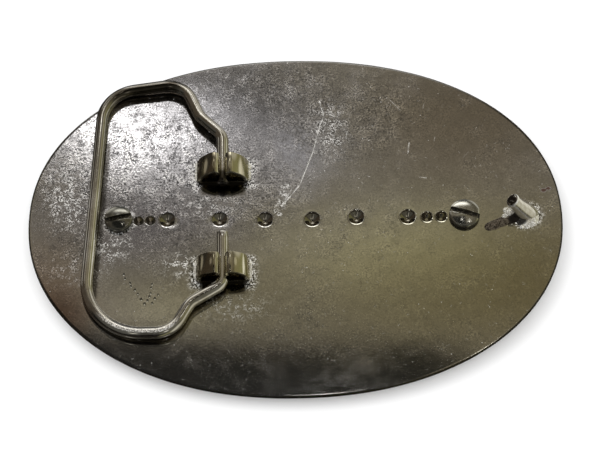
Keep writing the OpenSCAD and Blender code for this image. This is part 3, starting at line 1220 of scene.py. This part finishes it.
# the camera stands where the photograph was taken from, in millimetres and degrees
view = {
    "lens": 86.42,
    "sensor": 36.0,
    "place": (-2.725, -112.295, 215.966),
    "tilt": 27.33,        # how far it leans off the plate's normal
    "side": -0.90,
    "roll": -1.55,
}


def makeCamera():
    tilt, side, roll = [math.radians(view[k]) for k in ("tilt", "side", "roll")]
    back = Vector((math.sin(side) * math.cos(tilt), -math.sin(tilt), math.cos(side) * math.cos(tilt)))
    right = Vector((0, 1, 0)).cross(back).normalized()
    up = back.cross(right)
    cosine, sine = math.cos(roll), math.sin(roll)
    right, up = right * cosine + up * sine, up * cosine - right * sine
    camera = bpy.data.objects.new("camera", bpy.data.cameras.new("camera"))
    camera.data.lens = view["lens"]
    camera.data.sensor_width = view["sensor"]
    camera.data.clip_start = 0.005
    camera.data.clip_end = 50
    turn = Matrix((right, up, back)).transposed().to_4x4()
    camera.matrix_world = Matrix.Translation(Vector(view["place"]) * mm) @ turn
    bpy.context.scene.collection.objects.link(camera)
    bpy.context.scene.camera = camera


def makeCard(name, corners, z, paint):
    # a flat card that belongs to the studio, in metres
    mesh = bpy.data.meshes.new(name)
    (x0, y0), (x1, y1) = corners
    mesh.from_pydata([(x0, y0, z), (x1, y0, z), (x1, y1, z), (x0, y1, z)], [], [(0, 1, 2, 3)])
    mesh.materials.append(paint)
    card = bpy.data.objects.new(name, mesh)
    bpy.context.scene.collection.objects.link(card)
    return card


ground = {"tone": (0.9, 0.9, 0.9), "rough": 0.9, "corners": ((-3, -3), (3, 3)), "drop": 0.02}


def makeFloor():
    paint = newPaint("floor")
    shade = paint.principled(baseColor=ground["tone"], roughness=ground["rough"], specularIORLevel=0.0)
    floor = makeCard("floor", ground["corners"], -ground["drop"] * mm, shade)
    floor.visible_glossy = False


# the ceiling that the polished metal mirrors, in millimetres
ceiling = {
    "height": 300,
    "corners": ((-160, -60), (160, 400)),
    "tone": (0.23, 0.205, 0.155),
    # each (place, size, colour, strength)
    "patches": [
        ((-60, 235), (90, 60), (0.2, 0.2, 0.22), 0.8),         # greyer over the far left
        ((-8, 208), (22, 27), (0.05, 0.047, 0.044), 0.9),
        ((-35, 154), (38, 34), (0.12, 0.11, 0.115), 0.9),
        ((75, 215), (70, 60), (0.15, 0.13, 0.095), 0.9),
        ((30, 144), (58, 27), (0.45, 0.42, 0.3), 0.78),
        ((4, 187), (13, 24), (0.46, 0.46, 0.48), 0.85),
        ((-36, 116), (25, 13), (0.56, 0.52, 0.4), 0.8),
        ((-64, 162), (22, 26), (0.16, 0.14, 0.12), 0.6),
        ((70, 10), (46, 44), (0.02, 0.018, 0.015), 1.0),
        ((75, 125), (60, 55), (0.16, 0.13, 0.065), 0.8),
        ((-75, 105), (60, 34), (0.1, 0.06, 0.04), 0.9),
    ],
    # something dark stands behind the camera: its place, half size and colour
    "shade": ((-36, 40), (82, 65.5), (0.014, 0.0135, 0.0115)),
    # its top rises to the left of the first number and falls to its right, each with its slope
    "shadeRise": (-21, 0.12, 0.1),
    "shadeWander": 9,     # how far its ragged edge wanders
    # each (place, reach to the sides, below and above, colour)
    "lamps": [
        ((-37, 203), (29, 31, 13), (1.5, 1.49, 1.5)),
        ((11, 61), (8, 8, 8), (7, 6.8, 6.4)),
        ((80, 39), (9, 9, 9), (7, 6.8, 6.4)),
        ((-28, 190), (46, 34, 30), (0.16, 0.16, 0.17)),
        ((-43, 201), (24, 20, 9), (2.7, 2.65, 2.5)),
        ((0, 305), (260, 45, 80), (2.3, 2.27, 2.2)),
    ],
}


def makeCeiling():
    paint = newPaint("ceiling")
    place = paint.place()
    x, y, z = place.parts()
    tone = ceiling["tone"]
    for spot, size, colour, strength in ceiling["patches"]:
        tone = paint.blend(paint.blob(x, y, spot, size) * strength, tone, colour)
    spot, size, colour = ceiling["shade"]
    start, rise, fall = ceiling["shadeRise"]
    wander = ceiling["shadeWander"]
    ragged = paint.cloud(place, 12, 3) * wander - wander / 2
    tilted = y + (x - start).lower(0) * rise + (x - start).higher(0) * fall
    tone = paint.blend(paint.slab(x + ragged, tilted + ragged, spot, size, 4), tone, colour)
    for (sx, sy), (aside, below, above), colour in ceiling["lamps"]:
        beyond = ((y - sy) / above).higher((sy - y) / below)
        glow = paint.away((x - sx) / aside, beyond).step(0.2, 1, 1, 0)
        tone = paint.vector("ADD", tone, paint.vector("SCALE", colour, scale=glow))
    # it fades out to its sides, where the rest of the room shows
    (x0, y0), (x1, y1) = ceiling["corners"]
    middle = ((x0 + x1) / 2, (y0 + y1) / 2)
    seen = paint.blob(x, y, middle, (x1 - middle[0], y1 - middle[1]), 0.75)
    clear = paint.node("ShaderNodeBsdfTransparent", {}, {})
    glowing = paint.node("ShaderNodeEmission", {}, {"Color": tone})
    shade = paint.surface(paint.node("ShaderNodeMixShader", {}, [seen, clear, glowing]))
    corners = [[v * mm for v in corner] for corner in ceiling["corners"]]
    card = makeCard("ceiling", corners, ceiling["height"] * mm, shade)
    card.visible_camera = False
    card.visible_diffuse = False
    card.visible_shadow = False
    card.visible_transmission = False


# the room as the polished metal sees it
room = {
    "top": (0.17, 0.16, 0.135),
    # each (side it lies to, where it starts and is full, colour)
    "sides": [
        ((1, 0, 0), (0.1, 0.3), (0.12, 0.105, 0.07)),
        ((1, 0, 0), (0.46, 0.6), (0.28, 0.26, 0.15)),
        ((1, 0, 0), (0.72, 0.82), (0.23, 0.22, 0.11)),
        ((-1, 0, 0), (0.1, 0.5), (0.075, 0.06, 0.045)),
        ((0, 1, 0), (0.78, 0.84), (0.14, 0.14, 0.135)),
        ((0.5, 0.78, 0.35), (0.92, 0.97), (0.55, 0.53, 0.48)),
        ((-0.33, 0.8, 0.45), (0.93, 0.97), (1.0, 0.97, 0.9)),
        ((0, -1, 0), (0.0, 0.3), (0.009, 0.008, 0.007)),
        ((0.5, -0.55, 0.67), (0.8, 0.96), (0.13, 0.125, 0.1)),
        ((-0.5, -0.55, 0.67), (0.8, 0.96), (0.1, 0.098, 0.088)),
        ((0, 0, -1), (0.08, 0.25), (0.03, 0.025, 0.02)),
        ((-0.77, 0.62, 0.16), (0.93, 0.97), (0.05, 0.045, 0.04)),
        ((0.56, -0.8, -0.25), (0.82, 0.93), (0.2, 0.19, 0.11)),
        ((0.89, -0.45, 0), (0.84, 0.93), (0.56, 0.54, 0.45)),
        ((0.95, 0.3, -0.1), (0.92, 0.97), (0.8, 0.78, 0.7)),
    ],
    # narrow bright things, each (way to it, where it starts and is full, strength)
    "streaks": [
        ((-0.885, 0.46, 0.09), 0.985, 0.996, 0.45), ((-0.5, 0.46, 0.73), 0.995, 0.998, 0.4),
        ((0.3, -0.55, 0.75), 0.994, 0.998, 0.9), ((-0.25, -0.62, 0.74), 0.995, 0.999, 0.8),
        ((0.57, 0.45, 0.68), 0.992, 0.997, 0.3),
    ],
    "streakTone": (1, 0.97, 0.9),
    "matt": (1.25, 1.25, 1.25),    # what matt surfaces and the camera see instead
}


def makeRoom():
    world = bpy.data.worlds.new("studio")
    bpy.context.scene.world = world
    paint = Paint(world)
    way = paint.node("ShaderNodeTexCoord", {}, {}, "Generated")
    tone = room["top"]
    for side, (low, high), colour in room["sides"]:
        tone = paint.blend(paint.vector("DOT_PRODUCT", way, side).step(low, high), tone, colour)
    for side, low, high, strength in room["streaks"]:
        near = paint.vector("DOT_PRODUCT", way, Vector(side).normalized()).step(low, high)
        streak = paint.vector("SCALE", room["streakTone"], scale=near * strength)
        tone = paint.vector("ADD", tone, streak)
    mirrored = paint.node("ShaderNodeLightPath", {}, {}, "Is Glossy Ray")
    tone = paint.blend(mirrored, room["matt"], tone)
    paint.feed(paint.nodes["Background"].inputs["Color"], tone)


# a soft lamp from the far left, in metres and watts
lamp = {"size": 0.4, "power": 0.8, "place": (-0.28, 0.2, 0.45)}


def makeLamp():
    light = bpy.data.objects.new("key", bpy.data.lights.new("key", "AREA"))
    light.data.size = lamp["size"]
    light.data.energy = lamp["power"]
    light.location = lamp["place"]
    light.rotation_euler = Vector(lamp["place"]).to_track_quat("Z", "Y").to_euler()
    light.visible_glossy = False
    bpy.context.scene.collection.objects.link(light)


plated = plateFinish()
strip = stripFinish()
soldered = solderFinish()
makePlate(plated)
print("plate made")
for name, (x, y) in clipPlaces().items():
    makeClip(name, x, y, strip)
    makeSolder(name.replace("clip", "solder"), x, y, soldered)
makeBail(wireFinish())
print("clips and bail made")
makePeg(pegFinish())
makeFoot(footFinish())
makeCollar(soldered)
steel = screwFinish()
for name, settings in screws.items():
    makeScrew(name, settings, steel)
print("hook and screws made")
makeCamera()
makeFloor()
makeCeiling()
makeRoom()
makeLamp()
bpy.context.scene.view_settings.view_transform = "Standard"
print("camera, ceiling and room made")
